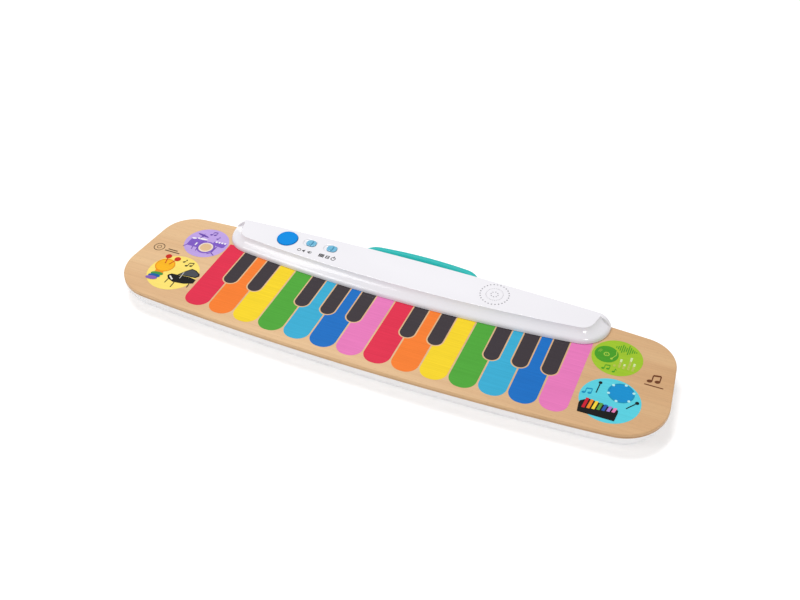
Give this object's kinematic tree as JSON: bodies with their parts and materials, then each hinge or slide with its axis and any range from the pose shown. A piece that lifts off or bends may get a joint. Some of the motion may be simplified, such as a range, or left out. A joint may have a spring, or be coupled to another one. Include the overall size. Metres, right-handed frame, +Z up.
{
  "type": "toy electronic keyboard",
  "caption": "Child's wooden touch keyboard: a bowed panel with printed keys, a gloss console with a button and two slide knobs, a base tray and a carry handle.",
  "frame": {"origin": "bottom centre of the bounding box, on the surface the feet stand on", "axes": "+X along the keys towards the high notes, +Y towards the console and the carry handle, +Z up from the keys"},
  "size_m": [0.5188, 0.1636, 0.0329],
  "materials": {
    "beech": "clear satin lacquer over pale plywood, with printed colour areas",
    "white_plastic": "white moulded, glossy",
    "teal_plastic": "teal moulded, satin to glossy",
    "blue_plastic": "blue moulded, glossy",
    "light_blue_plastic": "light blue, slightly translucent",
    "rubber": "matt",
    "steel": "zinc plated",
    "copper": "enamelled copper wire",
    "film": "thin polyester film with printed tracks",
    "ivory_plastic": "plain",
    "black_plastic": "plain",
    "cone_paper": "pressed paper, matt",
    "circuit_board": "green solder mask",
    "cell_sleeve": "printed sleeve",
    "red_wire": "insulation",
    "black_wire": "insulation"
  },
  "bodies": {
    "case": {"base_tray": "white_plastic", "battery_cell_1": "cell_sleeve", "battery_cell_2": "cell_sleeve", "battery_cell_3": "cell_sleeve", "battery_contact_negative": "steel", "battery_contact_positive": "steel", "battery_door": "white_plastic", "battery_door_screw": "steel", "battery_link_left": "steel", "battery_link_right": "steel", "battery_spring_1": "steel", "battery_spring_2": "steel", "battery_spring_3": "steel", "battery_wire_black": "black_wire", "battery_wire_red": "red_wire", "board_screw_1": "steel", "board_screw_2": "steel", "board_screw_3": "steel", "button_dome": "rubber", "carry_handle": "teal_plastic", "case_screw_1": "steel", "case_screw_2": "steel", "case_screw_3": "steel", "case_screw_4": "steel", "case_screw_5": "steel", "clamp_screw_left": "steel", "clamp_screw_right": "steel", "console_cover": "white_plastic", "handle_screw_left": "steel", "handle_screw_right": "steel", "main_board": "circuit_board", "mode_switch": "steel", "panel_screw_1": "steel", "panel_screw_2": "steel", "panel_screw_3": "steel", "panel_screw_4": "steel", "ribbon_connector": "ivory_plastic", "rubber_foot_1": "rubber", "rubber_foot_2": "rubber", "rubber_foot_3": "rubber", "rubber_foot_4": "rubber", "sound_chip": "black_plastic", "speaker_clamp": "steel", "speaker_cone": "cone_paper", "speaker_frame": "steel", "speaker_gasket": "rubber", "speaker_magnet": "steel", "speaker_wire_black": "black_wire", "speaker_wire_red": "red_wire", "touch_film": "film", "touch_ribbon": "ivory_plastic", "voice_coil": "copper", "volume_switch": "steel", "wood_panel": "beech"},
    "button": {"song_button": "blue_plastic"},
    "volume_knob": {"volume_slider": "light_blue_plastic", "volume_switch_lever": "black_plastic"},
    "mode_knob": {"mode_slider": "light_blue_plastic", "mode_switch_lever": "black_plastic"}
  },
  "joints": [
    {"name": "song_button_press", "type": "slide", "parent": "case", "child": "button", "axis": [0, 0.0392, -0.9992], "range_m": [0, 0.001], "stiffness_N_per_m": 1200, "springref_m": -0.0005, "deforming": ["button_dome"]},
    {"name": "volume_slide", "type": "slide", "parent": "case", "child": "volume_knob", "axis": [1, 0, 0], "range_m": [-0.003, 0]},
    {"name": "mode_slide", "type": "slide", "parent": "case", "child": "mode_knob", "axis": [1, 0, 0], "range_m": [-0.003, 0]}
  ]
}
